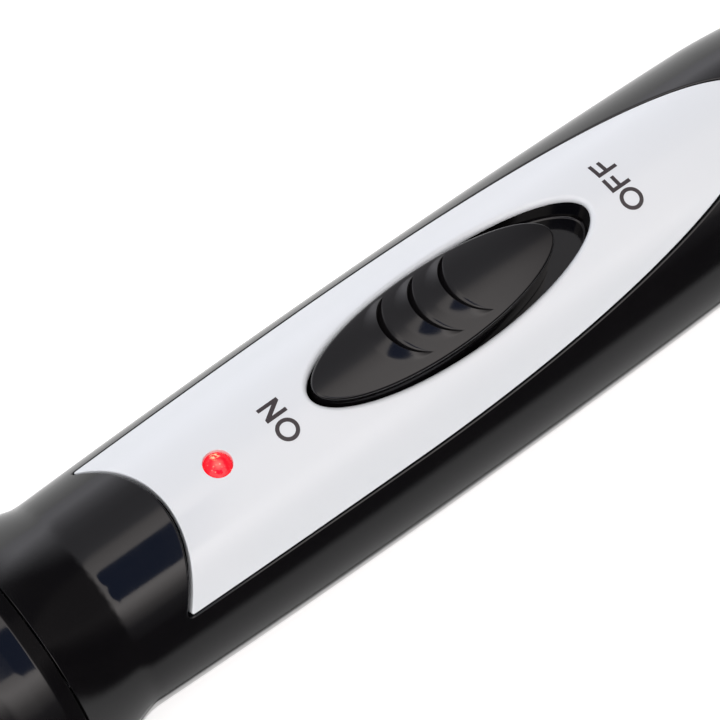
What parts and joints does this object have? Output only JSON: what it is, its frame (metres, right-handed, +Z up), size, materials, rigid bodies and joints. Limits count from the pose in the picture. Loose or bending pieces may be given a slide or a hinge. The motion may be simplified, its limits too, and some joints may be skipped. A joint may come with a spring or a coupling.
{
  "type": "automatic hair curler",
  "caption": "Round-handled hair curler with a sliding power switch, an indicator lamp and a motor that turns its heated barrel and sprung hair clip.",
  "frame": {"origin": "middle of the object's box, on the surface it rests on", "axes": "+X along the handle towards the cord end, +Z up through the power switch, +Y to the left of the switch seen with the barrel pointing away"},
  "size_m": [0.3554, 0.0452, 0.0432],
  "materials": {
    "gloss_black": "polished black moulding",
    "gloss_white": "polished cool white moulding",
    "matt_black": "fine-textured heat-resistant black moulding",
    "red_lens": "clear red indicator window",
    "steel": "zinc-plated or stainless steel",
    "motor_steel": "drawn motor can",
    "coated_tube": "smooth grey ceramic coating",
    "coated_steel": "smooth grey ceramic coating",
    "aluminium": "extruded",
    "brass": "polished",
    "bronze": "sintered, oiled",
    "carbon": "pressed carbon",
    "board": "green coated board",
    "nylon": "natural nylon",
    "heater_ceramic": "white insulated heater plate"
  },
  "bodies": {
    "handle": {"upper_shell": "gloss_black", "lower_shell": "gloss_black", "top_panel": "gloss_white", "front_guard": "gloss_black", "guard_screw_1": "steel", "guard_screw_2": "steel", "guard_screw_3": "steel", "guard_screw_4": "steel", "handle_screw_1": "steel", "handle_screw_2": "steel", "switch_well": "gloss_black", "slide_switch_body": "matt_black", "circuit_board": "board", "led_lens": "red_lens", "led_lamp": "red_lens", "trigger_pin": "steel", "trigger_spring": "steel", "micro_switch": "matt_black", "gearbox_frame": "nylon", "idler_axle": "steel", "motor_can": "motor_steel", "motor_end_cap": "matt_black", "front_bush": "bronze", "rear_bush": "bronze", "brush_1": "carbon", "brush_2": "carbon", "brush_spring_1": "brass", "brush_spring_2": "brass", "brush_holder": "matt_black", "swivel_washer": "nylon"},
    "slider": {"power_slider": "gloss_black", "switch_knob": "nylon"},
    "trigger": {"rotation_trigger": "matt_black"},
    "barrel": {"spindle": "steel", "drive_gear": "nylon", "insulating_hub": "matt_black", "slip_ring_1": "brass", "slip_ring_2": "brass", "barrel_base": "matt_black", "barrel_tube": "coated_tube", "heat_spreader_upper": "aluminium", "heat_spreader_lower": "aluminium", "heater_element": "heater_ceramic", "cool_tip": "matt_black", "tip_screw": "steel", "clip_bracket": "steel", "clip_pin": "steel", "clip_spring": "steel"},
    "clip": {"clip_spoon": "coated_steel", "clip_lever": "matt_black", "clip_rivet_1": "steel", "clip_rivet_2": "steel"},
    "idler": {"idler_gear": "nylon"},
    "rotor": {"motor_shaft": "steel", "motor_pinion": "brass"},
    "swivel": {"cord_swivel": "matt_black"}
  },
  "joints": [
    {"name": "power_slide", "type": "slide", "parent": "handle", "child": "slider", "axis": [1, 0, 0], "range_m": [0, 0.0066]},
    {"name": "trigger_press", "type": "hinge", "parent": "handle", "child": "trigger", "pos_m": [0.06115, 0, 0.0062], "axis": [0, 1, 0], "range_deg": [0, 2.6], "stiffness_Nm_per_rad": 0.3, "springref_deg": -5.73, "deforming": ["trigger_spring"]},
    {"name": "barrel_spin", "type": "hinge", "parent": "handle", "child": "barrel", "pos_m": [0, 0, 0.018], "axis": [1, 0, 0], "continuous": true},
    {"name": "clip_open", "type": "hinge", "parent": "barrel", "child": "clip", "pos_m": [-0.03235, 0, 0.034], "axis": [0, 1, 0], "range_deg": [0, 15], "stiffness_Nm_per_rad": 0.5, "springref_deg": -20.05, "deforming": ["clip_spring"]},
    {"name": "idler_spin", "type": "hinge", "parent": "handle", "child": "idler", "pos_m": [0, 0.0075, 0.018], "axis": [1, 0, 0], "continuous": true},
    {"name": "rotor_spin", "type": "hinge", "parent": "handle", "child": "rotor", "pos_m": [0, 0, 0.018], "axis": [1, 0, 0], "continuous": true},
    {"name": "gland_swivel", "type": "hinge", "parent": "handle", "child": "swivel", "pos_m": [0, 0, 0.018], "axis": [1, 0, 0], "continuous": true}
  ],
  "couplings": [
    {"joint": "idler_spin", "follows": "barrel_spin", "ratio": -2},
    {"joint": "rotor_spin", "follows": "barrel_spin", "ratio": 3}
  ]
}
